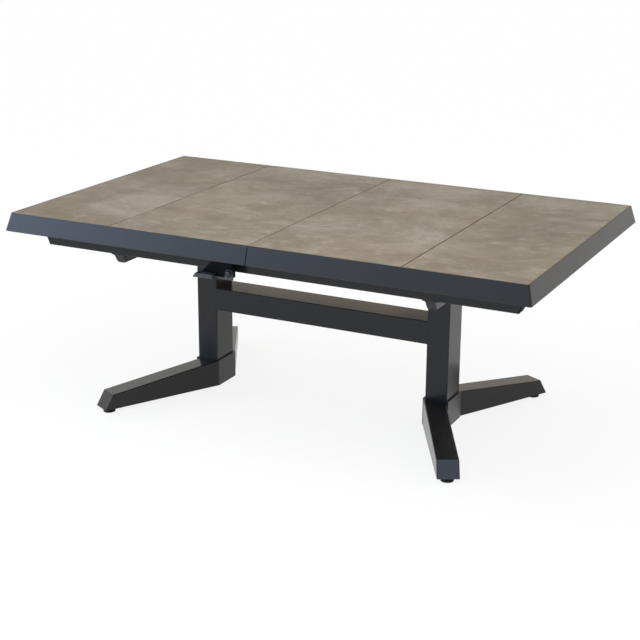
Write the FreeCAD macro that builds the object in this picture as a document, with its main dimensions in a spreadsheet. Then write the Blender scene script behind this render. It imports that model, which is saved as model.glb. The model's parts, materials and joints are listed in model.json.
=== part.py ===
import FreeCAD, Part
import math
import os
import re

import Sketcher
from FreeCAD import Placement, Rotation, Vector

# An extending table: two tiled half-tops that slide apart along X on a fixed pair of rails, a spare
# leaf kept between the rails, and a base of two columns, a stretcher and four splayed feet.
# Millimetres, +Z up, X along the table, origin on the floor under the table's middle.

# Driving sizes, in millimetres and degrees
SIZES = {
    # the whole table, closed
    "table_height": 765,
    "top_length": 2000,
    "top_width": 1215,
    "seam_gap": 3,
    "cut_overrun": 5,
    # the sloping edge profile round the top and its mitred corners
    "edge_height": 66,
    "edge_width": 60,
    "edge_outset": 17,
    "edge_lip": 3,
    "edge_wall": 3,
    "edge_face_wall": 3.2,
    "edge_round": 1.5,
    "corner_flat": 4,
    "corner_round": 6.5,
    "key_leg": 70,
    "key_width": 34,
    "key_height": 40,
    "key_clearance": 0.5,
    # the ceramic tiles
    "tile_thickness": 8,
    "tile_clearance": 1,
    "tile_joint": 3,
    "outer_tile_length": 420.5,
    "tile_arris": 1,
    # the bars under the tiles
    "bar_width": 40,
    "bar_wall": 2.5,
    # the dowels that line the halves up at the seam
    "dowel_diameter": 10,
    "dowel_reach": 14,
    "dowel_hold": 16,
    "dowel_inset": 147.5,
    "dowel_fit": 0.05,
    "dowel_play": 0.3,
    "dowel_point": 2,
    # the fixed rails and their end caps
    "rail_clearance": 4,
    "rail_setback": 145.5,
    "rail_width": 45,
    "rail_height": 70,
    "rail_inset": 92,
    "rail_end_run": 31,
    "rail_wall": 4,
    "rail_lip": 6,
    "rail_slot": 16,
    "rail_floor_height": 25,
    "rail_round": 2,
    "cap_thickness": 4,
    "cap_round": 3,
    # the runners of the half-tops and their glides
    "runner_width": 24,
    "runner_height": 26,
    "runner_stem": 12,
    "runner_inset": 20,
    "runner_end_gap": 8,
    "glide_length": 60,
    "glide_clearance": 0.3,
    # the small screws
    "screw_diameter": 5,
    "screw_head": 9,
    "screw_head_height": 3,
    "screw_length": 18,
    "screw_fit": 0.1,
    # the crossbars under the rails
    "crossbar_beyond_leaf": 1.5,
    "crossbar_height": 35,
    "crossbar_width": 36,
    "crossbar_flange": 58,
    "crossbar_flange_thickness": 3,
    "crossbar_end_run": 21,
    "crossbar_round": 8,
    # the plates on the columns and the bolts
    "head_plate_thickness": 12,
    "head_plate_depth": 220,
    "head_plate_inner_reach": 72,
    "head_plate_outer_reach": 31,
    "head_plate_corner": 15,
    "bolt_diameter": 8,
    "bolt_head": 14,
    "bolt_head_height": 5,
    "bolt_length": 36,
    "bolt_fit": 0.1,
    "bolt_head_play": 0.5,
    "bolt_recess": 6,
    "head_bolt_inset": 30,
    "rail_bolt_setback": 34,
    # the columns and the stretcher
    "column_setback": 127,
    "column_width": 86,
    "column_depth": 124,
    "column_wall": 4,
    "column_round": 5,
    "beam_underside": 327,
    "beam_height": 87,
    "beam_cope": 3,
    "beam_wall": 4,
    "beam_round": 3,
    # the hubs and the feet
    "ground_gap": 18,
    "hub_height": 102,
    "hub_floor": 12,
    "hub_side_wall": 7,
    "hub_end_wall": 4,
    "hub_round": 2,
    "socket_clearance": 0.2,
    "foot_angle": 28.4,
    "foot_inset": 3,
    "foot_width": 78.5,
    "foot_reach": 435.4,
    "foot_tip_run": 34,
    "foot_root_height": 101,
    "foot_tip_height": 57,
    "foot_wall": 6,
    "foot_roof": 8,
    "foot_boss": 40,
    "foot_round": 4,
    # the levelling pads
    "pad_diameter": 46,
    "pad_thickness": 11,
    "pad_slope": 3,
    "neck_diameter": 24,
    "stud_diameter": 10,
    "stud_length": 32,
    "stud_fit": 0.05,
    # the spare leaf and the strips that it lies on
    "leaf_width": 597,
    "guide_thickness": 4,
    "guide_width": 35,
    "guide_lip_height": 20,
    "guide_overhang": 31,
    "leaf_play": 1,
    # the lock of each half-top
    "lock_gap": 20,
    "lock_depth": 23,
    "lock_height": 87,
    "lock_inner_place": 109,
    "lock_outer_place": 234,
    "lock_step": 10,
    "lock_flange": 4,
    "lock_flange_inset": 14,
    "lock_flange_length": 140,
    "lock_screw_inset": 24,
    "lock_round": 3,
    "pivot_place": 118.5,
    "pivot_drop": 65.5,
    "lever_gap": 0.5,
    "lever_thickness": 8,
    "lever_ear_width": 29,
    "lever_ear_height": 29,
    "lever_drop": 25,
    "lever_arm_height": 8,
    "lever_reach": 134.5,
    "grip_start": 54.5,
    "grip_height": 16,
    "grip_depth": 26,
    "grip_end_run": 12,
    "grip_wall": 4,
    "lever_round": 12,
    "clamp_diameter": 10,
    "clamp_head": 14,
    "clamp_head_height": 7,
    "clamp_head_point": 2,
    "clamp_fit": 0.05,
    "clamp_clearance": 0.3,
}

# Heights and places that follow from the sizes
PLACES = {
    "frame_underside": "table_height - edge_height",
    "tile_underside": "table_height - tile_thickness",
    "frame_inside_x": "top_length / 2 - edge_width",
    "frame_inside_y": "top_width / 2 - edge_width",
    "tile_edge_x": "top_length / 2 - edge_outset - edge_lip - tile_clearance",
    "tile_edge_y": "top_width / 2 - edge_outset - edge_lip - tile_clearance",
    "dowel_place": "frame_inside_y - dowel_inset",
    "tile_joint_place": "tile_edge_x - outer_tile_length - tile_joint / 2",
    "inner_bar_place": "tile_joint_place / 2",
    "outer_bar_place": "tile_joint_place / 2 + tile_edge_x / 2",
    "rail_top": "frame_underside - rail_clearance",
    "rail_bottom": "rail_top - rail_height",
    "rail_place": "top_width / 2 - rail_setback",
    "rail_length": "top_length - 2 * rail_inset",
    "rail_bolt_place": "rail_place - rail_bolt_setback",
    "rail_inner_place": "rail_place - rail_width",
    "rail_middle": "rail_place - rail_width / 2",
    "channel_floor": "rail_bottom + rail_floor_height",
    "channel_roof": "rail_top - rail_lip",
    "channel_middle": "channel_floor / 2 + channel_roof / 2",
    "slide_travel": "leaf_width / 2 + seam_gap / 2",
    "runner_length": "rail_length / 2 - slide_travel - runner_inset - runner_end_gap",
    "crossbar_place": "top_width / 2 + crossbar_beyond_leaf",
    "crossbar_bottom": "rail_bottom - crossbar_height",
    "column_place": "crossbar_place - column_setback",
    "head_bolt_place": "head_plate_depth / 2 - head_bolt_inset",
    "column_top": "crossbar_bottom - head_plate_thickness",
    "hub_half_width": "column_width / 2 + hub_side_wall",
    "hub_half_depth": "column_depth / 2 + hub_end_wall",
    "hub_top": "ground_gap + hub_height",
    "foot_lean": "tan(foot_angle)",
    "foot_place": "column_place - foot_inset",
    "tip_x": "foot_place + foot_reach * sin(foot_angle)",
    "tip_y": "hub_half_depth + foot_reach * cos(foot_angle)",
    "leaf_bottom": "rail_bottom + guide_thickness",
    "leaf_half": "leaf_width / 2",
    "leaf_bar_place": "frame_inside_y / 3",
    "guide_length": "2 * crossbar_place + 2 * guide_overhang",
    "lock_near": "rail_place + lock_gap",
    "lock_far": "lock_near + lock_depth",
    "lock_roof": "frame_underside - lock_flange",
    "lock_floor": "frame_underside - lock_height",
    "pivot_height": "frame_underside - pivot_drop",
    "lever_near": "lock_far + lever_gap",
    "lever_far": "lever_near + lever_thickness",
    "lever_low": "pivot_height - lever_drop",
}

TOUCH = 0.001
TURN = Rotation(Vector(0, 0, 1), 180)

doc = FreeCAD.newDocument("extending_table")
sheet = doc.addObject("Spreadsheet::Sheet", "sizes")
for row, (name, size) in enumerate(SIZES.items(), start=1):
    sheet.set("A%d" % row, name)
    sheet.set("B%d" % row, str(size))
    sheet.setAlias("B%d" % row, name)
doc.recompute()

nodes = {}


# Helpers: expressions, sketches and features

def cells(text):
    """An expression with its names written as cells of the sheet."""
    def swap(match):
        word = match.group(0)
        if word in PLACES:
            return "(" + cells(PLACES[word]) + ")"
        return "sizes." + word if word in SIZES else word
    return re.sub(r"[a-z_]+", swap, text)


def minus(text):
    return "-(" + text + ")"


def bind(thing, prop, text):
    thing.setExpression(prop, cells(text))


def keep(label, thing):
    """Make an object a finished sub-part of this name."""
    thing.Label = label
    nodes[label] = thing
    return thing


def new_body(label):
    body = doc.addObject("PartDesign::Body", label)
    body.Label = label
    return body


def hold(sketch, geometry, place, corner):
    """Bind a sketch point's two coordinates. A leading minus measures from the point to the origin."""
    for kind, axis, text in (("DistanceX", -2, corner[0]), ("DistanceY", -1, corner[1])):
        if text == "0":
            sketch.addConstraint(Sketcher.Constraint("PointOnObject", geometry, place, axis))
            continue
        points = (-1, 1, geometry, place)
        if text.startswith("-"):
            points = (geometry, place, -1, 1)
            text = text[1:]
        index = sketch.addConstraint(Sketcher.Constraint(kind, *points, 1.0))
        bind(sketch, "Constraints[%d]" % index, text)


def add_outline(sketch, corners):
    """A closed outline of straight lines through bound corners."""
    count = len(corners)
    first = sketch.GeometryCount
    angles = [2 * math.pi * i / count for i in range(count)]
    ring = [Vector(math.cos(angle), math.sin(angle), 0) for angle in angles]
    for i in range(count):
        sketch.addGeometry(Part.LineSegment(ring[i], ring[(i + 1) % count]), False)
    for i in range(count):
        sketch.addConstraint(Sketcher.Constraint("Coincident", first + i, 2, first + (i + 1) % count, 1))
    for i, corner in enumerate(corners):
        hold(sketch, first + i, 1, corner)


def add_circle(sketch, centre, diameter):
    index = sketch.addGeometry(Part.Circle(Vector(1, 1, 0), Vector(0, 0, 1), 1), False)
    hold(sketch, index, 3, centre)
    size = sketch.addConstraint(Sketcher.Constraint("Diameter", index, 2.0))
    bind(sketch, "Constraints[%d]" % size, diameter)


def draw(body, plane, outlines=(), circles=(), offset="0"):
    """A sketch on one of the body's own planes, moved along the plane's normal by offset."""
    sketch = body.newObject("Sketcher::SketchObject", "Sketch")
    sketch.AttachmentSupport = [(f, "") for f in body.Origin.OriginFeatures if f.Role == plane]
    sketch.MapMode = "FlatFace"
    bind(sketch, "AttachmentOffset.Base.z", offset)
    for corners in outlines:
        add_outline(sketch, corners)
    for centre, diameter in circles:
        add_circle(sketch, centre, diameter)
    return sketch


def pad(body, plane, length, outlines=(), circles=(), offset="0", both_ways=False):
    feature = body.newObject("PartDesign::Pad", "Pad")
    feature.Profile = draw(body, plane, outlines, circles, offset)
    bind(feature, "Length", length)
    if both_ways:
        feature.SideType = "Symmetric"
    body.Tip = feature
    doc.recompute()


def pocket(
    body, plane, outlines=(), circles=(), length=None, offset="0", reverse=False, both_ways=False, lean=None
):
    """Cut through everything, or by a length one way, both ways or along a lean. It has to take something."""
    before = body.Shape.Volume
    feature = body.newObject("PartDesign::Pocket", "Pocket")
    feature.Profile = draw(body, plane, outlines, circles, offset)
    if length is None:
        feature.Type = "ThroughAll"
        feature.SideType = "Symmetric"
    else:
        bind(feature, "Length", length)
        feature.Reversed = reverse
        if both_ways:
            feature.SideType = "Symmetric"
    if lean:
        feature.UseCustomVector = True
        feature.AlongSketchNormal = True
        for axis, run in zip("xyz", lean):
            bind(feature, "Direction." + axis, run)
    body.Tip = feature
    doc.recompute()
    if not body.Shape.Volume < before - TOUCH:
        raise RuntimeError("a cut in %s takes nothing away" % body.Label)


def dress(body, kind, size_name, size, wanted):
    """Round or chamfer the wanted edges of the body as it stands."""
    base = body.Tip
    names = ["Edge%d" % i for i, edge in enumerate(base.Shape.Edges, start=1) if wanted(edge)]
    if not names:
        raise RuntimeError("no edges to dress on %s" % body.Label)
    feature = body.newObject("PartDesign::" + kind, kind)
    feature.Base = (base, names)
    bind(feature, size_name, size)
    body.Tip = feature
    doc.recompute()


def round_edges(body, radius, wanted):
    dress(body, "Fillet", "Radius", radius, wanted)


def chamfer_edges(body, size, wanted):
    dress(body, "Chamfer", "Size", size, wanted)


def along(edge, axis):
    """Whether a straight edge runs along the axis numbered 0, 1 or 2."""
    if not isinstance(edge.Curve, Part.Line):
        return False
    return abs(edge.Curve.Direction[axis]) > 1 - TOUCH


def at(edge, axis, place):
    """Whether the middle of an edge lies at this place on an axis."""
    return abs(edge.CenterOfMass[axis] - place) < TOUCH


def low(body, axis):
    box = body.Shape.BoundBox
    return (box.XMin, box.YMin, box.ZMin)[axis]


def high(body, axis):
    box = body.Shape.BoundBox
    return (box.XMax, box.YMax, box.ZMax)[axis]


def rectangle(left, right, bottom, top):
    return [(left, bottom), (right, bottom), (right, top), (left, top)]


def mirrored(source, axis):
    """A mirror image across the middle plane that the axis numbered 0 or 1 is square to."""
    image = doc.addObject("Part::Mirroring", "Mirror")
    image.Source = source
    image.Normal = Vector(*[1 if i == axis else 0 for i in range(3)])
    return image


def turned(source):
    """A copy turned half a turn about the table's middle."""
    copy = doc.addObject("Part::Compound", "Turned")
    copy.Links = [source]
    copy.Placement = Placement(Vector(0, 0, 0), TURN)
    return copy


def group(members):
    bundle = doc.addObject("Part::Compound", "Group")
    bundle.Links = members
    return bundle


def screw(shank, head, head_height, length):
    """A hexagon-headed screw that stands at the origin on its head's seat, shank down."""
    body = new_body("screw_form")
    near = head + " / 2 * cos(60)"
    side = head + " / 2 * sin(60)"
    hexagon = [
        (head + " / 2", "0"),
        (near, side),
        (minus(near), side),
        (minus(head + " / 2"), "0"),
        (minus(near), minus(side)),
        (near, minus(side)),
    ]
    pad(body, "XY_Plane", head_height, [hexagon])
    pad(body, "XY_Plane", length, circles=[(("0", "0"), shank)], offset=minus(length))
    return body


def placed(source, x, y, z, upside_down=False):
    """A copy of a source, moved to a bound place."""
    copy = doc.addObject("Part::Compound", "Placed")
    copy.Links = [source]
    if upside_down:
        copy.Placement = Placement(Vector(0, 0, 0), Rotation(Vector(1, 0, 0), 180))
    for name, text in (("x", x), ("y", y), ("z", z)):
        bind(copy, "Placement.Base." + name, text)
    return copy


# The half-tops: the right one is made, and the left one is the same turned half a turn

def edge_section(far, base):
    """The hollow edge profile, sloping out and down, from its outermost line and its underside."""
    top = base + " + edge_height"
    ledge = top + " - tile_thickness"
    lip = far + " - edge_outset - edge_lip"
    inside = far + " - edge_width"
    outer = [
        (far, base),
        (far + " - edge_outset", top),
        (lip, top),
        (lip, ledge),
        (inside, ledge),
        (inside, base),
    ]
    face = far + " - edge_face_wall - edge_outset / edge_height * "
    hollow = [
        (face + "edge_wall", base + " + edge_wall"),
        (face + "(edge_height - tile_thickness - edge_wall)", ledge + " - edge_wall"),
        (inside + " + edge_wall", ledge + " - edge_wall"),
        (inside + " + edge_wall", base + " + edge_wall"),
    ]
    return [outer, hollow]


def outer_corners(body, run, out):
    """Picks the profile's two long outer edges: the brink at its foot and the crest of its slope."""
    long_edges = [edge for edge in body.Shape.Edges if along(edge, run)]
    brink = max(edge.CenterOfMass[out] for edge in long_edges)
    top = max(edge.CenterOfMass[2] for edge in long_edges)
    crest = max(edge.CenterOfMass[out] for edge in long_edges if at(edge, 2, top))

    def wanted(edge):
        return along(edge, run) and (at(edge, out, brink) or at(edge, out, crest) and at(edge, 2, top))
    return wanted


def mitre(end_piece, front=False):
    """The triangle that a mitred corner cuts from a long edge or from the end edge."""
    beyond = ("top_length / 2 + cut_overrun", "top_width / 2 + cut_overrun")
    within = ("top_length / 2 - edge_width - cut_overrun", "top_width / 2 - edge_width - cut_overrun")
    third = (within[0], beyond[1]) if end_piece else (beyond[0], within[1])
    corners = [beyond, within, third]
    if front:
        corners = [(x, minus(y)) for x, y in corners]
    return corners


def mitre_brinks(body, out):
    """Picks the outermost slanting edges, where the slope ends at a mitred corner."""
    def slanting(edge):
        return isinstance(edge.Curve, Part.Line) and min(abs(d) for d in edge.Curve.Direction) > TOUCH
    place = max(e.CenterOfMass[out] for e in body.Shape.Edges if slanting(e))
    return lambda edge: slanting(edge) and at(edge, out, place)


def blunt(front):
    """The triangle that takes the point off a mitred corner, and the corner's lean up the slope."""
    beyond = ("top_length / 2 + cut_overrun", "top_width / 2 + cut_overrun")
    within = ("top_length / 2 - corner_flat - cut_overrun", "top_width / 2 - corner_flat - cut_overrun")
    corners = [beyond, (within[0], beyond[1]), (beyond[0], within[1])]
    if front:
        return [(x, minus(y)) for x, y in corners], ("-edge_outset", "edge_outset", "edge_height")
    return corners, ("-edge_outset", "-edge_outset", "edge_height")


def soften_mitre(body, out, fronts=(False,)):
    """Rounds each outer corner as far as the mitred cut, so that two edge pieces turn it smoothly."""
    for front in fronts:
        corners, lean = blunt(front)
        height = "edge_height + cut_overrun"
        pocket(body, "XY_Plane", [corners], length=height, offset="frame_underside", lean=lean)
    round_edges(body, "corner_round", mitre_brinks(body, out))


def long_edge(label):
    """The back edge of the right half, from the seam to the mitred corner."""
    body = new_body(label)
    section = edge_section("top_width / 2", "frame_underside")
    pad(body, "YZ_Plane", "top_length / 2 - seam_gap / 2", section, offset="seam_gap / 2")
    pocket(body, "XY_Plane", [mitre(end_piece=False)])
    soften_mitre(body, 1)
    round_edges(body, "edge_round", outer_corners(body, 0, 1))
    return body


def lock_screw_places():
    middle = "top_width / 2 - edge_width / 2"
    return [
        ("lock_inner_place + lock_screw_inset", middle),
        ("lock_inner_place + lock_flange_length - lock_screw_inset", middle),
    ]


def runner_screw_places():
    return [(bar, "rail_middle") for bar in ("inner_bar_place", "tile_joint_place")]


def make_edges():
    back = long_edge("right_back_edge")
    holes = [(place, "screw_diameter + 2 * screw_fit") for place in lock_screw_places()]
    pocket(
        body=back,
        plane="XY_Plane",
        circles=holes,
        length="edge_wall + 2 * cut_overrun",
        offset="frame_underside - cut_overrun",
        reverse=True,
    )
    keep("right_back_edge", back)
    keep("right_front_edge", mirrored(long_edge("front_edge_form"), 1))
    end = new_body("right_end_edge")
    section = edge_section("top_length / 2", "frame_underside")
    pad(end, "XZ_Plane", "top_width", section, both_ways=True)
    pocket(end, "XY_Plane", [mitre(end_piece=True), mitre(end_piece=True, front=True)])
    soften_mitre(end, 0, fronts=(False, True))
    round_edges(end, "edge_round", outer_corners(end, 1, 0))
    keep("right_end_edge", end)


def make_corner_keys():
    """An angle inside the two hollow profiles of each mitred corner."""
    body = new_body("corner_key_form")
    inner_x = "frame_inside_x + edge_wall + key_clearance"
    inner_y = "frame_inside_y + edge_wall + key_clearance"
    outer_x = inner_x + " + key_width"
    outer_y = inner_y + " + key_width"
    angle = [
        (outer_x, outer_y),
        (inner_x + " - key_leg", outer_y),
        (inner_x + " - key_leg", inner_y),
        (inner_x, inner_y),
        (inner_x, inner_y + " - key_leg"),
        (outer_x, inner_y + " - key_leg"),
    ]
    pad(body, "XY_Plane", "key_height", [angle], offset="frame_underside + edge_wall")
    keep("right_corner_keys", group([body, mirrored(body, 1)]))


def bar_along_y(label, start, length, base):
    """A rectangular tube along Y, from its lower X, its length and its underside."""
    body = new_body(label)
    top = base + " + edge_height - tile_thickness"
    outer = rectangle(start, start + " + bar_width", base, top)
    hollow = rectangle(
        start + " + bar_wall",
        start + " + bar_width - bar_wall",
        base + " + bar_wall",
        top + " - bar_wall",
    )
    pad(body, "XZ_Plane", length, [outer, hollow], both_ways=True)
    return body


def make_bars():
    span = "top_width - 2 * edge_width"
    seam = bar_along_y("right_seam_bar", "seam_gap / 2", span, "frame_underside")
    height = "frame_underside + edge_height / 2 - tile_thickness / 2"
    dowel_hole = ((minus("dowel_place"), height), "dowel_diameter + 2 * dowel_fit")
    socket_hole = (("dowel_place", height), "dowel_diameter + 2 * dowel_play")
    depth = "seam_gap / 2 + bar_wall + cut_overrun"
    pocket(seam, "YZ_Plane", circles=[dowel_hole, socket_hole], length=depth, reverse=True)
    keep("right_seam_bar", seam)
    dowel = new_body("right_dowel")
    centre = (minus("dowel_place"), height)
    reach = "dowel_reach + dowel_hold"
    pad(dowel, "YZ_Plane", reach, circles=[(centre, "dowel_diameter")], offset=minus("dowel_reach"))
    tip = low(dowel, 0)
    chamfer_edges(dowel, "dowel_point", lambda edge: at(edge, 0, tip))
    keep("right_dowel", dowel)
    bars = []
    for place in ("inner_bar_place", "tile_joint_place", "outer_bar_place"):
        bar = bar_along_y("support_bar_form", place + " - bar_width / 2", span, "frame_underside")
        if place != "outer_bar_place":
            spots = [(place, "rail_middle"), (place, minus("rail_middle"))]
            pocket(
                body=bar,
                plane="XY_Plane",
                circles=[(spot, "screw_diameter + 2 * screw_fit") for spot in spots],
                length="bar_wall + 2 * cut_overrun",
                offset="frame_underside - cut_overrun",
                reverse=True,
            )
        bars.append(bar)
    keep("right_support_bars", group(bars))


def slab(label, outline, base):
    """A ceramic tile with a fine arris round its face."""
    body = new_body(label)
    pad(body, "XY_Plane", "tile_thickness", [outline], offset=base)
    face = high(body, 2)
    chamfer_edges(body, "tile_arris", lambda edge: at(edge, 2, face))
    return keep(label, body)


def make_tiles():
    joint = "tile_joint_place - tile_joint / 2"
    inner = rectangle("seam_gap / 2", joint, minus("tile_edge_y"), "tile_edge_y")
    outer = rectangle(joint + " + tile_joint", "tile_edge_x", minus("tile_edge_y"), "tile_edge_y")
    slab("right_inner_tile", inner, "tile_underside")
    slab("right_outer_tile", outer, "tile_underside")


def runner_outline(top):
    """The left and right sides of the runner's section, from its stem's top downwards."""
    half_stem = "rail_middle + runner_stem / 2"
    half_bar = "rail_middle + runner_width / 2"
    shoulder = "channel_middle + runner_height / 2"
    sole = "channel_middle - runner_height / 2"
    right = [(half_stem, top), (half_stem, shoulder), (half_bar, shoulder), (half_bar, sole)]
    left = [("2 * rail_middle - (%s)" % y, z) for y, z in right]
    return left, right


def make_runners():
    left, right = runner_outline("frame_underside")
    runner = new_body("runner_form")
    pad(runner, "YZ_Plane", "runner_length", [left + right[::-1]], offset="runner_inset")
    pocket(
        body=runner,
        plane="XY_Plane",
        circles=[(place, "screw_diameter + 2 * screw_fit") for place in runner_screw_places()],
        length="screw_length + cut_overrun",
        offset="frame_underside + cut_overrun",
    )
    keep("right_runners", group([runner, mirrored(runner, 1)]))
    roof = "channel_roof - glide_clearance"
    floor = "channel_floor"
    half = "(rail_width / 2 - rail_wall - glide_clearance)"
    left, right = runner_outline(roof)
    shoe = [
        ("rail_middle - " + half, roof),
        *left,
        *right[::-1],
        ("rail_middle + " + half, roof),
        ("rail_middle + " + half, floor),
        ("rail_middle - " + half, floor),
    ]
    glides = []
    for start in ("runner_inset", "runner_inset + runner_length - glide_length"):
        glide = new_body("glide_form")
        pad(glide, "YZ_Plane", "glide_length", [shoe], offset=start)
        glides += [glide, mirrored(glide, 1)]
    keep("right_glides", group(glides))


def make_top_screws():
    form = screw("screw_diameter", "screw_head", "screw_head_height", "screw_length")
    seat = "frame_underside + bar_wall"
    screws = []
    for x, y in runner_screw_places():
        screws += [placed(form, x, y, seat), placed(form, x, minus(y), seat)]
    keep("right_runner_screws", group(screws))
    screws = [placed(form, x, y, "lock_roof", upside_down=True) for x, y in lock_screw_places()]
    keep("right_lock_screws", group(screws))


# The lock of the right half, behind its back edge beside the seam

def make_lock():
    housing = new_body("right_lock_housing")
    slope_top = "lock_outer_place - (lock_roof - lock_floor - lock_step)"
    block = [
        ("lock_inner_place", "lock_floor"),
        ("lock_outer_place", "lock_floor"),
        ("lock_outer_place", "lock_floor + lock_step"),
        (slope_top, "lock_roof"),
        ("lock_inner_place", "lock_roof"),
    ]
    pad(housing, "XZ_Plane", "lock_depth", [block], offset=minus("lock_far"))
    floor = low(housing, 2)
    round_edges(housing, "lock_round", lambda edge: along(edge, 1) and at(edge, 2, floor))
    flange = rectangle(
        "lock_inner_place",
        "lock_inner_place + lock_flange_length",
        "lock_near",
        "top_width / 2 - lock_flange_inset",
    )
    pad(housing, "XY_Plane", "lock_flange", [flange], offset="lock_roof")
    pivot = ("pivot_place", "pivot_height")
    bore = "clamp_diameter + 2 * clamp_fit"
    pocket(housing, "XZ_Plane", circles=[(pivot, bore)])
    holes = [(place, "screw_diameter + 2 * screw_fit") for place in lock_screw_places()]
    pocket(housing, "XY_Plane", circles=holes)
    keep("right_lock_housing", housing)
    make_lever(pivot, bore)
    clamp = new_body("right_clamp_screw")
    shank = "lever_far - rail_place - clamp_clearance"
    pad(clamp, "XZ_Plane", shank, circles=[(pivot, "clamp_diameter")], offset=minus("lever_far"))
    head_far = minus("lever_far + clamp_head_height")
    pad(clamp, "XZ_Plane", "clamp_head_height", circles=[(pivot, "clamp_head")], offset=head_far)
    front = high(clamp, 1)
    chamfer_edges(clamp, "clamp_head_point", lambda edge: at(edge, 1, front))
    keep("right_clamp_screw", clamp)


def make_lever(pivot, bore):
    """A cranked plate on the clamp screw, with an open finger grip at its far end."""
    lever = new_body("right_lock_lever")
    ear_side = "lever_ear_width / 2"
    ear_top = "pivot_height + lever_ear_height / 2"
    arm_top = "lever_low + lever_arm_height"
    grip_top = "lever_low + grip_height"
    start = "pivot_place + grip_start"
    end = "pivot_place + lever_reach"
    grip_end = end + " - grip_end_run"
    grip = [(start, "lever_low"), (end, "lever_low"), (grip_end, grip_top), (start, grip_top)]
    plate = [
        ("pivot_place - " + ear_side, "lever_low"),
        *grip[1:],
        (start, arm_top),
        ("pivot_place + " + ear_side, arm_top),
        ("pivot_place + " + ear_side, ear_top),
        ("pivot_place - " + ear_side, ear_top),
    ]
    pad(lever, "XZ_Plane", "lever_thickness", [plate], offset=minus("lever_far"))
    crown = high(lever, 2)
    round_edges(lever, "lever_round", lambda edge: along(edge, 1) and at(edge, 2, crown))
    pad(lever, "XZ_Plane", "grip_depth", [grip], offset=minus("lever_near + grip_depth"))
    trough = rectangle(
        start + " + grip_wall",
        grip_end + " - grip_wall",
        "lever_far",
        "lever_near + grip_depth - grip_wall",
    )
    pocket(lever, "XY_Plane", [trough], length="grip_height - grip_wall", offset=grip_top)
    pocket(lever, "XZ_Plane", circles=[(pivot, bore)])
    keep("right_lock_lever", lever)


# The spare leaf and its guides

def make_leaf():
    edge = new_body("leaf_edge_form")
    section = edge_section("top_width / 2", "leaf_bottom")
    pad(edge, "XZ_Plane", "leaf_width", section, both_ways=True)
    round_edges(edge, "edge_round", outer_corners(edge, 1, 0))
    keep("leaf_end_edges", group([edge, mirrored(edge, 0)]))
    side = new_body("leaf_side_form")
    top = "leaf_bottom + edge_height - tile_thickness"
    outer = rectangle("leaf_half - bar_width", "leaf_half", "leaf_bottom", top)
    hollow = rectangle(
        "leaf_half - bar_width + bar_wall",
        "leaf_half - bar_wall",
        "leaf_bottom + bar_wall",
        top + " - bar_wall",
    )
    pad(side, "YZ_Plane", "2 * frame_inside_y", [outer, hollow], both_ways=True)
    keep("leaf_side_bars", group([side, mirrored(side, 1)]))
    start = "leaf_bar_place - bar_width / 2"
    bar = bar_along_y("leaf_bar_form", start, "leaf_width - 2 * bar_width", "leaf_bottom")
    keep("leaf_support_bars", group([bar, mirrored(bar, 0)]))
    outline = rectangle(minus("tile_edge_y"), "tile_edge_y", minus("leaf_half"), "leaf_half")
    slab("leaf_tile", outline, top)


def make_guides():
    guide = new_body("guide_form")
    outer = "leaf_half + leaf_play + guide_thickness"
    lip = "leaf_half + leaf_play"
    inner = outer + " - guide_width"
    lip_top = "leaf_bottom + guide_lip_height"
    angle = [
        (inner, "rail_bottom"),
        (outer, "rail_bottom"),
        (outer, lip_top),
        (lip, lip_top),
        (lip, "leaf_bottom"),
        (inner, "leaf_bottom"),
    ]
    pad(guide, "YZ_Plane", "guide_length", [angle], both_ways=True)
    keep("leaf_guides", group([guide, mirrored(guide, 1)]))


# The fixed rails, crossbars and plates

def make_rails():
    rail = new_body("back_rail")
    half_slot = "rail_slot / 2"
    wall_in = "rail_inner_place + rail_wall"
    wall_out = "rail_place - rail_wall"
    outer = [
        ("rail_inner_place", "rail_bottom"),
        ("rail_place", "rail_bottom"),
        ("rail_place", "rail_top"),
        ("rail_middle + " + half_slot, "rail_top"),
        ("rail_middle + " + half_slot, "channel_roof"),
        (wall_out, "channel_roof"),
        (wall_out, "channel_floor"),
        (wall_in, "channel_floor"),
        (wall_in, "channel_roof"),
        ("rail_middle - " + half_slot, "channel_roof"),
        ("rail_middle - " + half_slot, "rail_top"),
        ("rail_inner_place", "rail_top"),
    ]
    chamber = rectangle(wall_in, wall_out, "rail_bottom + rail_wall", "channel_floor - rail_wall")
    length = "rail_length + 2 * rail_end_run + 2 * cut_overrun"
    pad(rail, "YZ_Plane", length, [outer, chamber], both_ways=True)
    sides = (low(rail, 1), high(rail, 1))
    round_edges(rail, "rail_round", lambda edge: along(edge, 0) and any(at(edge, 1, y) for y in sides))
    pocket(rail, "XZ_Plane", [rail_end_cut(1), rail_end_cut(-1)])
    spots = [("crossbar_place", "rail_bolt_place"), (minus("crossbar_place"), "rail_bolt_place")]
    pocket(
        body=rail,
        plane="XY_Plane",
        circles=[(spot, "bolt_diameter + 2 * bolt_fit") for spot in spots],
        length="rail_wall + 2 * cut_overrun",
        offset="rail_bottom - cut_overrun",
        reverse=True,
    )
    keep("back_rail", rail)
    keep("front_rail", mirrored(rail, 1))
    cap = new_body("rail_cap_form")
    foot = "rail_length / 2"
    head = "rail_length / 2 + rail_end_run"
    plate = [
        (foot, "rail_bottom"),
        (foot + " + cap_thickness", "rail_bottom"),
        (head + " + cap_thickness", "rail_top"),
        (head, "rail_top"),
    ]
    pad(cap, "XZ_Plane", "rail_width", [plate], offset=minus("rail_place"))
    brink = low(cap, 2)
    outermost = max(e.CenterOfMass.x for e in cap.Shape.Edges if along(e, 1) and at(e, 2, brink))
    round_edges(cap, "cap_round", lambda edge: at(edge, 2, brink) and at(edge, 0, outermost))
    front = mirrored(cap, 1)
    keep("rail_end_caps", group([cap, front, turned(cap), turned(front)]))


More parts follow.
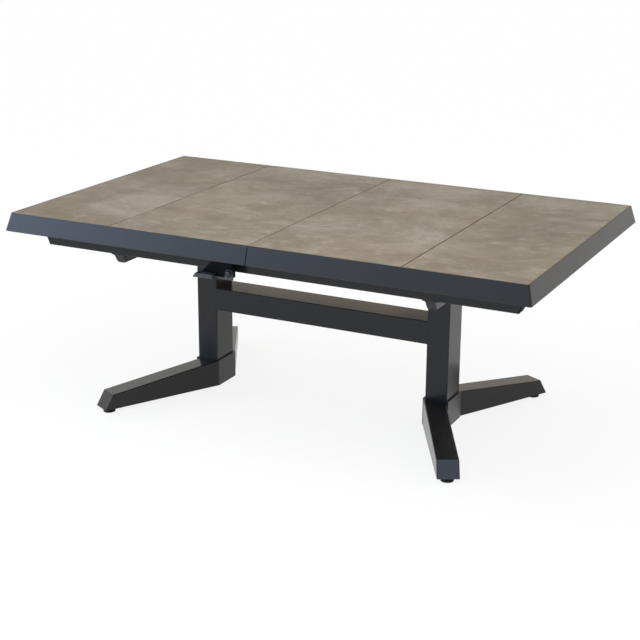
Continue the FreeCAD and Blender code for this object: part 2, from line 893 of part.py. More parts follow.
def rail_end_cut(side):
    """What the slanting cut takes from one end of a rail, drawn past the rail's top and bottom."""
    drift = "rail_end_run * cut_overrun / rail_height"
    beyond = "rail_length / 2 + rail_end_run + 2 * cut_overrun"
    corners = [
        ("rail_length / 2 - " + drift, "rail_bottom - cut_overrun"),
        ("rail_length / 2 + rail_end_run + " + drift, "rail_top + cut_overrun"),
        (beyond, "rail_top + cut_overrun"),
        (beyond, "rail_bottom - cut_overrun"),
    ]
    return corners if side > 0 else [(minus(x), z) for x, z in corners]


def crossbar_end_cut(side):
    """What the slanting cut takes from one end of a crossbar."""
    foot = "rail_place - crossbar_end_run"
    beyond = "rail_place + cut_overrun"
    corners = [
        ("rail_place", "rail_bottom"),
        (foot, "crossbar_bottom"),
        (foot, "crossbar_bottom - cut_overrun"),
        (beyond, "crossbar_bottom - cut_overrun"),
        (beyond, "rail_bottom"),
    ]
    return corners if side > 0 else [(minus(y), z) for y, z in corners]


def make_crossbar():
    bar = new_body("right_crossbar")
    web = "crossbar_width / 2"
    flange = "crossbar_flange / 2"
    seat = "rail_bottom - crossbar_flange_thickness"
    section = [
        ("crossbar_place - " + web, "crossbar_bottom"),
        ("crossbar_place + " + web, "crossbar_bottom"),
        ("crossbar_place + " + web, seat),
        ("crossbar_place + " + flange, seat),
        ("crossbar_place + " + flange, "rail_bottom"),
        ("crossbar_place - " + flange, "rail_bottom"),
        ("crossbar_place - " + flange, seat),
        ("crossbar_place - " + web, seat),
    ]
    pad(bar, "XZ_Plane", "2 * rail_place", [section], both_ways=True)
    floor = low(bar, 2)
    webs = [e.CenterOfMass.x for e in bar.Shape.Edges if along(e, 1) and at(e, 2, floor)]
    round_edges(bar, "crossbar_round", lambda edge: along(edge, 1) and any(at(edge, 0, x) for x in webs))
    pocket(bar, "YZ_Plane", [crossbar_end_cut(1), crossbar_end_cut(-1)])
    spots = [("crossbar_place", "rail_bolt_place"), ("crossbar_place", minus("rail_bolt_place"))]
    pocket(bar, "XY_Plane", circles=[(spot, "bolt_diameter + 2 * bolt_fit") for spot in spots])
    pocket(
        body=bar,
        plane="XY_Plane",
        circles=[(spot, "bolt_head + 2 * bolt_head_play") for spot in spots],
        length="bolt_recess + cut_overrun",
        offset="crossbar_bottom - cut_overrun",
        reverse=True,
    )
    spots = [("crossbar_place", "head_bolt_place"), ("crossbar_place", minus("head_bolt_place"))]
    pocket(
        body=bar,
        plane="XY_Plane",
        circles=[(spot, "bolt_diameter + 2 * bolt_fit") for spot in spots],
        length="bolt_length - head_plate_thickness + cut_overrun",
        offset="crossbar_bottom",
        reverse=True,
    )
    keep("right_crossbar", bar)


def make_head_plate():
    plate = new_body("right_head_plate")
    outline = rectangle(
        "column_place - head_plate_inner_reach",
        "crossbar_place + head_plate_outer_reach",
        minus("head_plate_depth / 2"),
        "head_plate_depth / 2",
    )
    pad(plate, "XY_Plane", "head_plate_thickness", [outline], offset="column_top")
    round_edges(plate, "head_plate_corner", lambda edge: along(edge, 2))
    spots = [("crossbar_place", "head_bolt_place"), ("crossbar_place", minus("head_bolt_place"))]
    pocket(plate, "XY_Plane", circles=[(spot, "bolt_diameter + 2 * bolt_fit") for spot in spots])
    keep("right_head_plate", plate)


def make_bolts():
    form = screw("bolt_diameter", "bolt_head", "bolt_head_height", "bolt_length")
    for label, y, seat in (
        ("head_plate_bolts", "head_bolt_place", "column_top"),
        ("rail_bolts", "rail_bolt_place", "crossbar_bottom + bolt_recess"),
    ):
        spots = [(x, side) for x in ("crossbar_place", minus("crossbar_place")) for side in (y, minus(y))]
        keep(label, group([placed(form, x, side, seat, upside_down=True) for x, side in spots]))


# The base: columns, stretcher, hubs, feet and levelling pads

def make_column():
    column = new_body("right_column")
    half_x = "column_width / 2"
    half_y = "column_depth / 2"
    outer = rectangle("column_place - " + half_x, "column_place + " + half_x, minus(half_y), half_y)
    inner_y = half_y + " - column_wall"
    hollow = rectangle(
        "column_place - column_width / 2 + column_wall",
        "column_place + column_width / 2 - column_wall",
        minus(inner_y),
        inner_y,
    )
    foot = "ground_gap + hub_floor"
    pad(column, "XY_Plane", "column_top - (%s)" % foot, [outer, hollow], offset=foot)
    sides = (low(column, 0), high(column, 0))
    round_edges(column, "column_round", lambda edge: along(edge, 2) and any(at(edge, 0, x) for x in sides))
    keep("right_column", column)


def make_beam():
    """A rounded tube as deep as the columns, its sides coped to lie round their rounded corners."""
    beam = new_body("stretcher_beam")
    half = "column_depth / 2"
    inner = half + " - beam_wall"
    top = "beam_underside + beam_height"
    outer = rectangle(minus(half), half, "beam_underside", top)
    hollow = rectangle(minus(inner), inner, "beam_underside + beam_wall", top + " - beam_wall")
    face = "column_place - column_width / 2"
    end = face + " + beam_cope"
    pad(beam, "YZ_Plane", "2 * (%s)" % end, [outer, hollow], both_ways=True)
    sides = (low(beam, 1), high(beam, 1))
    round_edges(beam, "beam_round", lambda edge: along(edge, 0) and any(at(edge, 1, y) for y in sides))
    flat = half + " - column_round"
    past = end + " + cut_overrun"
    notches = [
        rectangle(face, past, minus(flat), flat),
        rectangle(minus(past), minus(face), minus(flat), flat),
    ]
    pocket(beam, "XY_Plane", notches)
    corner = face + " + column_round"
    corners = [(x, y) for x in (corner, minus(corner)) for y in (flat, minus(flat))]
    pocket(beam, "XY_Plane", circles=[(place, "2 * column_round") for place in corners])
    keep("stretcher_beam", beam)


def make_hub():
    hub = new_body("right_hub")
    outline = rectangle(
        "column_place - hub_half_width",
        "column_place + hub_half_width",
        minus("hub_half_depth"),
        "hub_half_depth",
    )
    pad(hub, "XY_Plane", "hub_height", [outline], offset="ground_gap")
    round_edges(hub, "hub_round", lambda edge: along(edge, 2))
    half_x = "column_width / 2 + socket_clearance"
    half_y = "column_depth / 2 + socket_clearance"
    socket = rectangle(
        "column_place - (%s)" % half_x,
        "column_place + (%s)" % half_x,
        minus(half_y),
        half_y,
    )
    pocket(hub, "XY_Plane", [socket], length="hub_height - hub_floor", offset="hub_top")
    keep("right_hub", hub)


def make_foot():
    """The right back foot: a tapering casting, open below, trimmed square to the hub's face."""
    foot = new_body("foot_right_back")
    root_run = "foot_width / 2 * foot_lean + cut_overrun"
    root_top = "ground_gap + foot_root_height"
    tip_top = "ground_gap + foot_tip_height"
    side_view = [
        (minus(root_run), "ground_gap"),
        ("foot_reach + foot_tip_run", "ground_gap"),
        ("foot_reach", tip_top),
        ("0", root_top),
        (minus(root_run), root_top),
    ]
    pad(foot, "XZ_Plane", "foot_width", [side_view], both_ways=True)
    sides = (low(foot, 1), high(foot, 1))
    floor = low(foot, 2)

    def upper_side(edge):
        raised = edge.BoundBox.ZMax > floor + TOUCH
        return raised and not along(edge, 2) and any(at(edge, 1, y) for y in sides)
    round_edges(foot, "foot_round", upper_side)
    half = "foot_width / 2 + cut_overrun"
    slew = "(%s) * foot_lean" % half
    back = root_run + " + cut_overrun"
    pocket(foot, "XY_Plane", [[
        (minus(slew), half),
        (slew, minus(half)),
        (minus(back), minus(half)),
        (minus(back), half),
    ]])
    near = "foot_width / 2 * foot_lean + foot_wall"
    far = "foot_reach - foot_boss"
    fall = " - (foot_root_height - foot_tip_height) / foot_reach * "
    ceiling = root_top + " - foot_roof" + fall
    pocket(
        body=foot,
        plane="XZ_Plane",
        outlines=[[
            (near, "ground_gap - cut_overrun"),
            (far, "ground_gap - cut_overrun"),
            (far, ceiling + "(%s)" % far),
            (near, ceiling + "(%s)" % near),
        ]],
        length="foot_width - 2 * foot_wall",
        both_ways=True,
    )
    pocket(
        body=foot,
        plane="XY_Plane",
        circles=[(("foot_reach", "0"), "stud_diameter + 2 * stud_fit")],
        length="stud_length + 2 * cut_overrun",
        offset="ground_gap - cut_overrun",
        reverse=True,
    )
    bind(foot, "Placement.Base.x", "foot_place")
    bind(foot, "Placement.Base.y", "hub_half_depth")
    bind(foot, "Placement.Rotation.Angle", "90 - foot_angle")
    keep("foot_right_back", foot)
    keep("foot_right_front", mirrored(foot, 1))


def make_levelling_pad():
    """A round foot with its threaded stud, turned about a vertical axis."""
    pad_foot = new_body("levelling_pad_right_back")
    rim = "pad_diameter / 2"
    top = "ground_gap + stud_length"
    half_view = [
        ("0", "0"),
        (rim, "0"),
        (rim, "pad_thickness - pad_slope"),
        (rim + " - pad_slope", "pad_thickness"),
        ("neck_diameter / 2", "pad_thickness"),
        ("neck_diameter / 2", "ground_gap"),
        ("stud_diameter / 2", "ground_gap"),
        ("stud_diameter / 2", top),
        ("0", top),
    ]
    sketch = draw(pad_foot, "XZ_Plane", [half_view])
    feature = pad_foot.newObject("PartDesign::Revolution", "Revolution")
    feature.Profile = sketch
    feature.ReferenceAxis = (sketch, ["V_Axis"])
    feature.Angle = 360
    pad_foot.Tip = feature
    bind(pad_foot, "Placement.Base.x", "tip_x")
    bind(pad_foot, "Placement.Base.y", "tip_y")
    keep("levelling_pad_right_back", pad_foot)
    keep("levelling_pad_right_front", mirrored(pad_foot, 1))


def make_left_side():
    """Everything made for the right side has a twin on the left, turned half a turn."""
    for label in [name for name in nodes if "right" in name]:
        twin = label.replace("right", "left")
        if "front" in label:
            twin = twin.replace("front", "back")
        else:
            twin = twin.replace("back", "front")
        keep(twin, turned(nodes[label]))


def write_parts():
    """Check every object and every sub-part, then write one file for each sub-part."""
    doc.recompute()
    failed = [o.Name for o in doc.Objects if "Invalid" in o.State or "Error" in o.State]
    if failed:
        raise RuntimeError("failed objects: " + ", ".join(failed))
    os.makedirs("parts", exist_ok=True)
    for label, thing in nodes.items():
        shape = thing.Shape
        if shape.isNull() or not shape.isValid() or not shape.Solids:
            raise RuntimeError(label + " has no sound shape")
        shape.exportStep(os.path.join("parts", label + ".step"))
        print("%-28s %2d solids %12.1f mm3" % (label, len(shape.Solids), shape.Volume))


make_edges()
make_corner_keys()
make_bars()
make_tiles()
make_runners()
make_top_screws()
make_lock()
make_column()
make_hub()
make_foot()
make_levelling_pad()
make_head_plate()
make_crossbar()
make_left_side()
make_leaf()
make_guides()
make_rails()
make_bolts()
make_beam()
write_parts()
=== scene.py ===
import json
import math

import bmesh
import bpy
from mathutils import Matrix, Vector


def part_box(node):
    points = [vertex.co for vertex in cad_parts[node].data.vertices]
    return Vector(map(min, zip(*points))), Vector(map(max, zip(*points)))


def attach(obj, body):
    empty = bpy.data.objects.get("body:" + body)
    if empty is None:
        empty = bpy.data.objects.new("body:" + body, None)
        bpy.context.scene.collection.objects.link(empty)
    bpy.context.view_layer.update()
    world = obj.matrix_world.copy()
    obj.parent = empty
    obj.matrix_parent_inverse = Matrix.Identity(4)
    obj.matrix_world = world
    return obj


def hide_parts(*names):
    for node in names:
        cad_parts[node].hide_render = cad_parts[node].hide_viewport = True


# An extending dining table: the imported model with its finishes, its tile seals and its socket screws.
# Metres, +Z up, X along the table, the front at -Y.

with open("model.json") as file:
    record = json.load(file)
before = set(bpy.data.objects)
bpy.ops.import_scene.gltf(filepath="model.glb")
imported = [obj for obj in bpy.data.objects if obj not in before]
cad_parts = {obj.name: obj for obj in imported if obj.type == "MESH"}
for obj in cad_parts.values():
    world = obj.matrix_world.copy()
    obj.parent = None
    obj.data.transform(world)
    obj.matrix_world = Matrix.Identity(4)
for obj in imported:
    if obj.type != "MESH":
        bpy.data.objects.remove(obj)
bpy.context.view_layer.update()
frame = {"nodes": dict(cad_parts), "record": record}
nodes = frame["nodes"]

# The photograph's camera, its lens in millimetres and its turns in degrees
CAMERA_PLACE = (2.2663, -4.5693, 1.9896)
CAMERA_AZIMUTH = 26.605
CAMERA_ELEVATION = 17.971
CAMERA_ROLL = 0.376
CAMERA_FOCAL_MM = 79.886
SENSOR_MM = 36

# Tiles: where their joints lie along X, how they and the leaf's tile were cut, and their seals
TILE_JOINT = 0.557
SLAB_STEP = (3.7, 1.9)
LEAF_CUT = (5.3, 7.1, 0)
LEAF_TURN = (0, 0, math.radians(90))
SEAL_DEPTH = 0.0012
SEAL_SIDE_GAP = 0.00005

# Clamp screws, and the hubs of the levers round them
CLAMP_SHANK = 0.010
CLAMP_HEAD = 0.007
CLAMP_HEAD_EDGE = 0.0016
SOCKET_ACROSS = 0.007
SOCKET_DEPTH = 0.004
SOCKET_SIDES = 6
ROUND_SIDES = 64
SMOOTH_BELOW = math.radians(30)
LEVER_HUB_RADIUS = 0.0152

# Floor
FLOOR_SIZE = 160
FLOOR_PAPER = (0.90, 0.90, 0.90, 1)
FLOOR_GLOW = 0.86
SEEN_RAYS = ("Is Camera Ray", "Is Glossy Ray", "Is Transmission Ray")
WHITE = (1, 1, 1, 1)

# The lamp over the front of the table
LAMP_PLACE = Vector((0.3, -1.1, 2.4))
LAMP_AIM = Vector((0, -0.2, 0.7))
LAMP_WATTS = 23.5
LAMP_SIZE = 1.4

# The dome: its colour by height, and its tints ahead and to the right
DOME_BANDS = (
    (0.0, (0.60, 0.54, 0.47)),
    (0.14, (1.0, 0.97, 0.93)),
    (0.34, (0.60, 0.46, 0.31)),
    (0.5, (1.0, 0.96, 0.92)),
    (1.0, (0.86, 0.86, 0.86)),
)
FRONT_TINT = (0.19, 0.31, 0.48, 1)
FRONT_SHARE = 0.8
FRONT_AIM = (0, -1, 0)
RIGHT_TINT = (1.05, 0.84, 0.62, 1)
RIGHT_SHARE = 0.9
RIGHT_AIM = (0.97, -0.15, 0)
RIGHT_NARROWNESS = 1.5

# Soft lights in the dome: direction, narrowness and glow
SOFT_LIGHTS = (
    ((-0.84, 0.10, 0.53), 16, (2.3, 2.3, 2.3)),
    ((-0.56, 0.71, 0.43), 120, (0.55, 0.68, 0.70)),
    ((0.48, -0.64, 0.60), 40, (1.45, 2.1, 3.1)),
    ((-0.20, -0.96, 0.20), 60, (0.2, 0.45, 0.65)),
    ((-0.74, -0.645, 0.19), 40, (7.0, 9.1, 12.8)),
)


# Shader building

class Value:
    """A socket that sums and products can be written with. Each one adds a Math node."""

    def __init__(self, sheet, socket):
        self.sheet = sheet
        self.socket = socket

    def _math(self, operation, first, second):
        return self.sheet.add("ShaderNodeMath", {"operation": operation}, {0: first, 1: second})

    def __add__(self, other):
        return self._math("ADD", self, other)

    def __radd__(self, other):
        return self._math("ADD", other, self)

    def __sub__(self, other):
        return self._math("SUBTRACT", self, other)

    def __rsub__(self, other):
        return self._math("SUBTRACT", other, self)

    def __mul__(self, other):
        return self._math("MULTIPLY", self, other)

    def __rmul__(self, other):
        return self._math("MULTIPLY", other, self)

    def __pow__(self, other):
        return self._math("POWER", self, other)

    def __rpow__(self, other):
        return self._math("POWER", other, self)

    def __gt__(self, other):
        return self._math("GREATER_THAN", self, other)

    def __lt__(self, other):
        return self._math("LESS_THAN", self, other)

    def at_least(self, other):
        return self._math("MAXIMUM", self, other)


class Sheet:
    """A node tree under construction."""

    def __init__(self, tree):
        self.tree = tree
        tree.nodes.clear()

    def add(self, kind, settings=None, sockets=None, output=0):
        """Add a node: its settings first, then the values or links of its sockets.

        It gives back one output, or a list of outputs for a tuple of names.
        """
        node = self.tree.nodes.new(kind)
        for name, setting in (settings or {}).items():
            if name == "stops":
                self._set_stops(node.color_ramp, setting)
            else:
                setattr(node, name, setting)
        for key, value in (sockets or {}).items():
            if isinstance(value, Value):
                self.tree.links.new(value.socket, node.inputs[key])
            else:
                node.inputs[key].default_value = value
        if isinstance(output, tuple):
            return [Value(self, node.outputs[name]) for name in output]
        return Value(self, node.outputs[output]) if node.outputs else None

    @staticmethod
    def _set_stops(ramp, stops):
        while len(ramp.elements) < len(stops):
            ramp.elements.new(1)
        for element, (place, shade) in zip(ramp.elements, stops):
            element.position = place
            red, green, blue = shade[:3] if isinstance(shade, tuple) else (shade, shade, shade)
            element.color = (red, green, blue, 1)

    def ramp(self, value, stops):
        return self.add("ShaderNodeValToRGB", {"stops": stops}, {"Fac": value})

    def mix(self, factor, first, second, blend="MIX"):
        settings = {"data_type": "RGBA", "blend_type": blend}
        return self.add("ShaderNodeMix", settings, {0: factor, 6: first, 7: second}, output=2)

    def bump(self, height, distance, strength):
        sockets = {"Height": height, "Distance": distance, "Strength": strength}
        return self.add("ShaderNodeBump", None, sockets)

    def place(self):
        return self.add("ShaderNodeTexCoord", output="Object")

    def noise(self, place, scale, detail=2.0, rough=0.5, distortion=0.0,
              stretch=(1, 1, 1), offset=(0, 0, 0)):
        mapping = {"Vector": place, "Scale": stretch, "Location": offset}
        sockets = {
            "Vector": self.add("ShaderNodeMapping", None, mapping),
            "Scale": scale,
            "Detail": detail,
            "Distortion": distortion,
            "Roughness": rough,
        }
        return self.add("ShaderNodeTexNoise", None, sockets, output="Fac")

    def parts(self, vector):
        """The X, Y and Z of a vector."""
        return self.add("ShaderNodeSeparateXYZ", None, {0: vector}, output=("X", "Y", "Z"))


def colour(red, green, blue):
    """A linear colour from the three values that a screen shows, 0 to 255."""
    def linear(v):
        v = v / 255
        return v / 12.92 if v <= 0.04045 else ((v + 0.055) / 1.055) ** 2.4
    return (linear(red), linear(green), linear(blue), 1)


def finish(name, build):
    """A material whose build function returns the Principled sockets."""
    material = bpy.data.materials.new(name)
    material.use_nodes = True
    sheet = Sheet(material.node_tree)
    shader = sheet.add("ShaderNodeBsdfPrincipled", None, build(sheet))
    sheet.add("ShaderNodeOutputMaterial", None, {"Surface": shader})
    return material


# Finishes

def top_slab(sheet, place):
    """Places on the slab for the top, with each tile cut from another part of it."""
    x = sheet.parts(place)[0]
    tile = (x > 0) + (x > TILE_JOINT) + (x > -TILE_JOINT)
    shift = sheet.add("ShaderNodeCombineXYZ", None, {"X": tile * SLAB_STEP[0], "Y": tile * SLAB_STEP[1]})
    return sheet.add("ShaderNodeVectorMath", {"operation": "ADD"}, {0: place, 1: shift})


def leaf_slab(sheet, place):
    """Places on the slab for the leaf, which is stored a quarter turn round."""
    mapping = {"Vector": place, "Rotation": LEAF_TURN, "Location": LEAF_CUT}
    return sheet.add("ShaderNodeMapping", None, mapping)


def clouded_taupe(sheet, cut):
    """Clouds from dark to pale taupe, with wisps and trowel strokes over them."""
    clouds = sheet.noise(cut, 3.2, detail=10, distortion=0.4, rough=0.68)
    wisps = sheet.noise(cut, 9, detail=9, stretch=(0.85, 1.2, 1), distortion=0.7, rough=0.72)
    patches = sheet.noise(cut, 1.5, detail=3, offset=(4, 9, 0), distortion=0.4)
    strokes = sheet.noise(cut, 26, detail=8, stretch=(0.7, 1.4, 1), distortion=0.5, rough=0.72)
    base = sheet.ramp(clouds, [
        (0.36, colour(96, 86, 72)),
        (0.50, colour(116, 107, 92)),
        (0.63, colour(136, 129, 115)),
    ])
    warm = sheet.ramp(patches, [(0.35, colour(122, 109, 90)), (0.65, colour(115, 111, 100))])
    body = sheet.mix(0.35, base, warm)
    light_wisps = sheet.ramp(wisps, [(0.52, 0.0), (0.68, 1.0)])
    dark_wisps = sheet.ramp(wisps, [(0.30, 1.0), (0.46, 0.0)])
    pale_patches = sheet.ramp(patches, [(0.42, 0.0), (0.58, 1.0)])
    pale_strokes = sheet.ramp(strokes, [(0.56, 0.0), (0.68, 1.0)]) * pale_patches
    worn_strokes = sheet.ramp(strokes, [(0.30, 1.0), (0.44, 0.0)])
    for mask, share, shade in (
        (light_wisps, 0.5, colour(147, 140, 126)),
        (dark_wisps, 0.5, colour(97, 86, 71)),
        (pale_strokes, 0.5, colour(163, 155, 140)),
        (worn_strokes, 0.35, colour(93, 83, 69)),
    ):
        body = sheet.mix(mask * share, body, shade)
    return body


def ceramic(slab):
    """Matt clouded ceramic with a fine fleck and grain, cut from a slab."""
    def build(sheet):
        place = sheet.place()
        cut = slab(sheet, place)
        grain = sheet.noise(place, 900, detail=2)
        mottle = sheet.noise(cut, 70, detail=5, rough=0.7)
        fleck = sheet.ramp(mottle, [(0.30, 0.82), (0.62, 1.08)])
        return {
            "Base Color": sheet.mix(0.6, clouded_taupe(sheet, cut), fleck, blend="MULTIPLY"),
            "Roughness": 0.58 + mottle * 0.2,
            "Normal": sheet.bump(mottle * 0.6 + grain * 0.4, 0.00025, 0.6),
            "Specular IOR Level": 0.3,
        }
    return build


def powder_coat(dark, light, roughness, shine, dust):
    """A satin powder coat with fine orange peel, slight unevenness and a little dust on level faces."""
    def build(sheet):
        place = sheet.place()
        uneven = sheet.noise(place, 5, detail=4, rough=0.6)
        peel = sheet.noise(place, 1500, detail=1)
        ripple = sheet.noise(place, 320, detail=2)
        smudge = sheet.noise(place, 14, detail=6, rough=0.65, distortion=0.5)
        body = sheet.mix(uneven, dark, light)
        normal = sheet.add("ShaderNodeNewGeometry", output="Normal")
        level = sheet.parts(normal)[2].at_least(0.0) ** 6
        settled = level * sheet.ramp(smudge, [(0.35, 0.0), (0.75, 1.0)]) * dust
        body = sheet.mix(settled, body, colour(150, 144, 134))
        relief = sheet.bump(peel * 0.6 + ripple * 0.4, 0.00006, 0.5)
        return {
            "Base Color": body,
            "Roughness": roughness + smudge * 0.06 + settled * 0.3,
            "Normal": relief,
            "Specular IOR Level": shine,
        }
    return build


def extruded_aluminium(sheet):
    """Mill aluminium with faint die lines along its length and a cloudy oxide."""
    place = sheet.place()
    lines = sheet.noise(place, 60, detail=4, stretch=(1, 14, 14))
    oxide = sheet.noise(place, 9, detail=5)
    body = sheet.mix(oxide, colour(150, 152, 154), colour(182, 184, 186))
    body = sheet.mix(lines * 0.25, body, colour(120, 122, 124))
    relief = sheet.bump(lines, 0.00008, 0.4)
    return {"Base Color": body, "Metallic": 1.0, "Roughness": 0.30 + oxide * 0.2, "Normal": relief}


def plated_steel(sheet):
    """Bright zinc plate, a little clouded."""
    cloud = sheet.noise(sheet.place(), 160, detail=4)
    body = sheet.mix(cloud, colour(176, 178, 180), colour(206, 208, 209))
    return {"Base Color": body, "Metallic": 1.0, "Roughness": 0.18 + cloud * 0.18}


def blackened_steel(sheet):
    """Oil-blackened screws, rubbed a little brighter here and there."""
    cloud = sheet.noise(sheet.place(), 220, detail=4)
    body = sheet.mix(cloud, colour(62, 62, 64), colour(112, 112, 113))
    return {"Base Color": body, "Metallic": 1.0, "Roughness": 0.24 + cloud * 0.16}


def lever_coat(sheet):
    """A grey satin coat on the lever, scuffed where fingers pull, and black round its screw."""
    low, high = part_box("right_clamp_screw")
    place = sheet.place()
    x, _, z = sheet.parts(place)
    # The left lever lies as far to the left, so distances from the middle serve both
    along = (x ** 2) ** 0.5 - (low[0] + high[0]) / 2
    above = z - (low[2] + high[2]) / 2
    plate = (along * along + above * above) > LEVER_HUB_RADIUS ** 2
    scuff = sheet.noise(place, 75, detail=6, stretch=(0.5, 1, 2), rough=0.7)
    peel = sheet.noise(place, 1400, detail=1)
    rubbed = sheet.ramp(scuff, [(0.45, 0.0), (0.8, 1.0)])
    grey = sheet.mix(rubbed, colour(52, 52, 52), colour(104, 103, 100))
    return {
        "Base Color": sheet.mix(plate, colour(12, 12, 13), grey),
        "Roughness": 0.5 - plate * 0.16 + scuff * 0.2,
        "Normal": sheet.bump(peel, 0.00005, 0.5),
        "Specular IOR Level": 0.4,
    }


def moulded(shade, worn, roughness, shine=0.25):
    """Moulded plastic with a spark-eroded grain and handling marks."""
    def build(sheet):
        place = sheet.place()
        grain = sheet.noise(place, 1800, detail=2)
        marks = sheet.noise(place, 45, detail=6, rough=0.7)
        body = sheet.mix(sheet.ramp(marks, [(0.5, 0.0), (0.85, 0.6)]), shade, worn)
        return {
            "Base Color": body,
            "Roughness": roughness + marks * 0.15,
            "Normal": sheet.bump(grain, 0.00008, 0.6),
            "Specular IOR Level": shine,
        }
    return build


def dress():
    """Give every node the finish of its material slot."""
    slate = powder_coat(colour(34, 33, 31), colour(39, 38, 36), roughness=0.26, shine=0.28, dust=0.1)
    # The anthracite coat is its own dark grey, taken a little darker as painted shade for the rails that
    # lie in shade under the top's edge; the columns, feet, beam and plates share it.
    anthracite_and_painted_shade = powder_coat(colour(27, 27, 28), colour(32, 32, 33), roughness=0.2, shine=0.3, dust=0.05)
    # Black moulding, partly real and partly painted shade: the rail caps are black plastic, while the
    # lock housing is made near-black and dull to stand in for the deep shade it sits in under the top.
    black = moulded(colour(7, 7, 8), colour(20, 20, 21), 0.52, shine=0.1)
    white = moulded(colour(222, 220, 212), colour(178, 175, 166), 0.4)
    rubber = moulded(colour(16, 16, 17), colour(44, 43, 42), 0.6)
    coats = {
        "tile": finish("clouded_ceramic", ceramic(top_slab)),
        "frame_coat": finish("slate_powder_coat", slate),
        "base_coat": finish("anthracite_coat_and_painted_shade", anthracite_and_painted_shade),
        "bare_aluminium": finish("extruded_aluminium", extruded_aluminium),
        "lever_metal": finish("lever_coat", lever_coat),
        "bare_steel": finish("plated_steel", plated_steel),
        "black_plastic": finish("black_moulding_and_painted_shade", black),
        "glide_plastic": finish("white_glide_moulding", white),
        "pad": finish("pad_rubber", rubber),
    }
    coats["plate_coat"] = coats["base_coat"]
    for part in frame["record"]["subparts"]:
        mesh = nodes[part["node"]].data
        mesh.materials.clear()
        mesh.materials.append(coats[part["material_slot"]])
    nodes["leaf_tile"].data.materials[0] = finish("leaf_ceramic", ceramic(leaf_slab))


# New pieces

def start_block(name, low, high):
    """A block between two corners, with nothing else selected."""
    bpy.ops.object.select_all(action="DESELECT")
    bpy.ops.mesh.primitive_cube_add(size=1)
    piece = bpy.context.object
    piece.name = name
    piece.location = (low + high) / 2
    piece.scale = high - low
    bpy.ops.object.transform_apply(location=True, rotation=True, scale=True)
    return piece


def soften(piece, width, segments=3):
    """Round the piece's edges with an applied bevel."""
    modifier = piece.modifiers.new("softened", "BEVEL")
    modifier.width = width
    modifier.segments = segments
    modifier.limit_method = "ANGLE"
    bpy.context.view_layer.objects.active = piece
    bpy.ops.object.modifier_apply(modifier=modifier.name)


def rod(middle, near, far, across, sides=ROUND_SIDES):
    """A rod along Y through a point, from one Y to another, measured across its corners."""
    bpy.ops.object.select_all(action="DESELECT")
    bpy.ops.mesh.primitive_cylinder_add(vertices=sides, radius=across / 2, depth=abs(far - near))
    piece = bpy.context.object
    piece.rotation_euler = (math.radians(90), 0, 0)
    piece.location = (middle.x, (near + far) / 2, middle.z)
    bpy.ops.object.transform_apply(location=True, rotation=True, scale=True)
    return piece


def combine(piece, tool, operation):
    """Join a tool piece to a piece, or cut it out, and delete the tool."""
    modifier = piece.modifiers.new("combined", "BOOLEAN")
    modifier.operation = operation
    modifier.object = tool
    bpy.context.view_layer.objects.active = piece
    bpy.ops.object.modifier_apply(modifier=modifier.name)
    bpy.ops.object.select_all(action="DESELECT")
    tool.select_set(True)
    bpy.ops.object.delete()


def settle(piece, material, body):
    """Finish a piece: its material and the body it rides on."""
    piece.data.materials.clear()
    piece.data.materials.append(material)
    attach(piece, body)


def hollow_top(strip, depth):
    """Sink the middle of a strip's top face, as a sealing bead shrinks."""
    bpy.context.view_layer.objects.active = strip
    bpy.ops.object.mode_set(mode="EDIT")
    bpy.ops.mesh.select_all(action="DESELECT")
    shape = bmesh.from_edit_mesh(strip.data)
    top = max(shape.faces, key=lambda face: face.calc_center_median().z)
    top.select = True
    bmesh.update_edit_mesh(strip.data)
    width = min(strip.dimensions.x, strip.dimensions.y)
    bpy.ops.mesh.inset(thickness=width / 4, depth=0)
    bpy.ops.transform.translate(value=(0, 0, -depth))
    bpy.ops.object.mode_set(mode="OBJECT")


def joint_seal(side, material):
    """The dark sealing strip in the joint between a half's two tiles."""
    inner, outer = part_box(side + "_inner_tile"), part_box(side + "_outer_tile")
    left, right = (outer, inner) if side == "left" else (inner, outer)
    low = Vector((left[1][0] + SEAL_SIDE_GAP, inner[0][1], inner[0][2]))
    high = Vector((right[0][0] - SEAL_SIDE_GAP, inner[1][1], inner[1][2] - SEAL_DEPTH))
    strip = start_block(side + "_joint_seal", low, high)
    hollow_top(strip, SEAL_DEPTH)
    settle(strip, material, side + "_half")


def socket_screw(side, outward, material):
    """The clamp screw in full: a cap head with a hexagon socket on a plain shank."""
    node = side + "_clamp_screw"
    low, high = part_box(node)
    middle = (Vector(low) + Vector(high)) / 2
    tip, crown = (high[1], low[1]) if outward < 0 else (low[1], high[1])
    seat = crown - outward * CLAMP_HEAD
    screw = rod(middle, seat, crown, high[0] - low[0])
    screw.name = side + "_socket_screw"
    soften(screw, CLAMP_HEAD_EDGE)
    bite = SOCKET_DEPTH / 2
    bottom = crown - outward * SOCKET_DEPTH
    socket = rod(middle, bottom, crown + outward * bite, SOCKET_ACROSS, SOCKET_SIDES)
    combine(screw, socket, "DIFFERENCE")
    shank = rod(middle, tip, seat + outward * bite, CLAMP_SHANK)
    combine(screw, shank, "UNION")
    bpy.ops.object.select_all(action="DESELECT")
    screw.select_set(True)
    bpy.context.view_layer.objects.active = screw
    bpy.ops.object.shade_smooth_by_angle(angle=SMOOTH_BELOW)
    settle(screw, material, side + "_lever")
    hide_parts(node)


# Stage

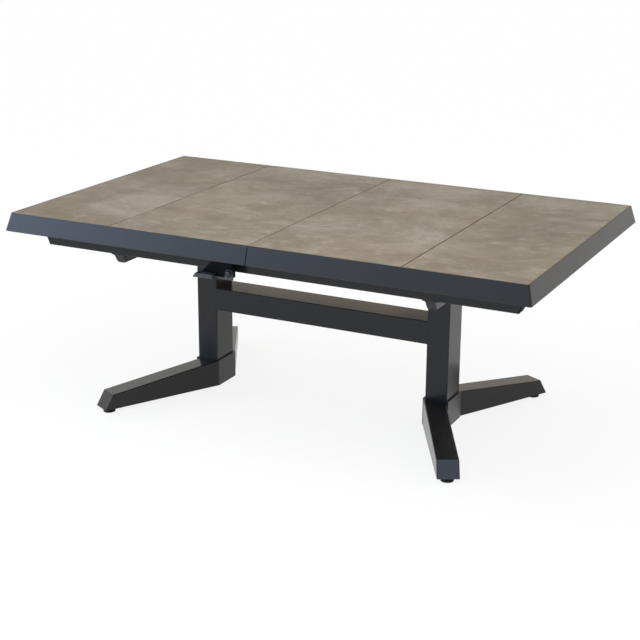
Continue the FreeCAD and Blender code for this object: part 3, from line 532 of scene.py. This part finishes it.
def set_camera():
    """The photograph's camera, from its place, its turns and its lens."""
    turns = (CAMERA_AZIMUTH, CAMERA_ELEVATION, CAMERA_ROLL)
    azimuth, elevation, roll = (math.radians(turn) for turn in turns)
    ahead = Vector((
        -math.sin(azimuth) * math.cos(elevation),
        math.cos(azimuth) * math.cos(elevation),
        -math.sin(elevation),
    ))
    right = Vector((math.cos(azimuth), math.sin(azimuth), 0))
    up = right.cross(ahead)
    tilted_right = right * math.cos(roll) + up * math.sin(roll)
    tilted_up = up * math.cos(roll) - right * math.sin(roll)
    data = bpy.data.cameras.new("photo_camera")
    data.lens = CAMERA_FOCAL_MM
    data.sensor_width = SENSOR_MM
    camera = bpy.data.objects.new("photo_camera", data)
    turn = Matrix((tilted_right, tilted_up, -ahead)).transposed()
    camera.matrix_world = Matrix.Translation(CAMERA_PLACE) @ turn.to_4x4()
    bpy.context.scene.collection.objects.link(camera)
    bpy.context.scene.camera = camera


def lay_floor():
    """A wide floor that glows white where the camera or a mirror sees it, and keeps some shadow."""
    bpy.ops.object.select_all(action="DESELECT")
    bpy.ops.mesh.primitive_plane_add(size=FLOOR_SIZE)
    floor = bpy.context.object
    floor.name = "floor"
    material = bpy.data.materials.new("pale_floor")
    material.use_nodes = True
    sheet = Sheet(material.node_tree)
    paper = sheet.add("ShaderNodeBsdfDiffuse", None, {"Color": FLOOR_PAPER})
    glow = sheet.add("ShaderNodeEmission", None, {"Color": WHITE, "Strength": 1.0})
    rays = [sheet.add("ShaderNodeLightPath", output=kind) for kind in SEEN_RAYS]
    shader = sheet.add("ShaderNodeMixShader", None, {0: sum(rays) * FLOOR_GLOW, 1: paper, 2: glow})
    sheet.add("ShaderNodeOutputMaterial", None, {"Surface": shader})
    floor.data.materials.append(material)


def light_studio():
    """A soft dome: pale behind, dim and cool ahead, warm to the right, and white to the camera."""
    world = bpy.data.worlds.new("studio")
    world.use_nodes = True
    bpy.context.scene.world = world
    sheet = Sheet(world.node_tree)
    x, y, z = sheet.parts(sheet.add("ShaderNodeTexCoord", output="Generated"))

    def towards(aim):
        return (x * aim[0] + y * aim[1] + z * aim[2]).at_least(0.0)

    lit = sheet.ramp(z.at_least(0.0), DOME_BANDS)
    lit = sheet.mix(towards(FRONT_AIM) * FRONT_SHARE, lit, FRONT_TINT)
    lit = sheet.mix(towards(RIGHT_AIM) ** RIGHT_NARROWNESS * RIGHT_SHARE, lit, RIGHT_TINT)
    for aim, narrowness, glow in SOFT_LIGHTS:
        lit = sheet.mix(towards(aim) ** narrowness, lit, (*glow, 1), blend="ADD")
    seen = sheet.add("ShaderNodeLightPath", output="Is Camera Ray")
    shown = sheet.mix(seen, lit, WHITE)
    background = sheet.add("ShaderNodeBackground", None, {"Color": shown, "Strength": 1.0})
    sheet.add("ShaderNodeOutputWorld", None, {"Surface": background})


def hang_lamp():
    """A square lamp near the front of the table, whose light falls off towards the back."""
    lamp = bpy.data.lights.new("front_lamp", "AREA")
    lamp.energy = LAMP_WATTS
    lamp.size = LAMP_SIZE
    hung = bpy.data.objects.new("front_lamp", lamp)
    hung.location = LAMP_PLACE
    hung.rotation_euler = (LAMP_AIM - LAMP_PLACE).to_track_quat("-Z", "Y").to_euler()
    hung.visible_camera = False
    bpy.context.scene.collection.objects.link(hung)


dress()
seal = finish("black_sealant", moulded(colour(9, 9, 8), colour(20, 19, 18), 0.6, shine=0.08))
black_steel = finish("blackened_steel", blackened_steel)
for side, outward in (("left", -1), ("right", 1)):
    joint_seal(side, seal)
    socket_screw(side, outward, black_steel)
set_camera()
lay_floor()
light_studio()
hang_lamp()
bpy.context.scene.view_settings.view_transform = "Standard"
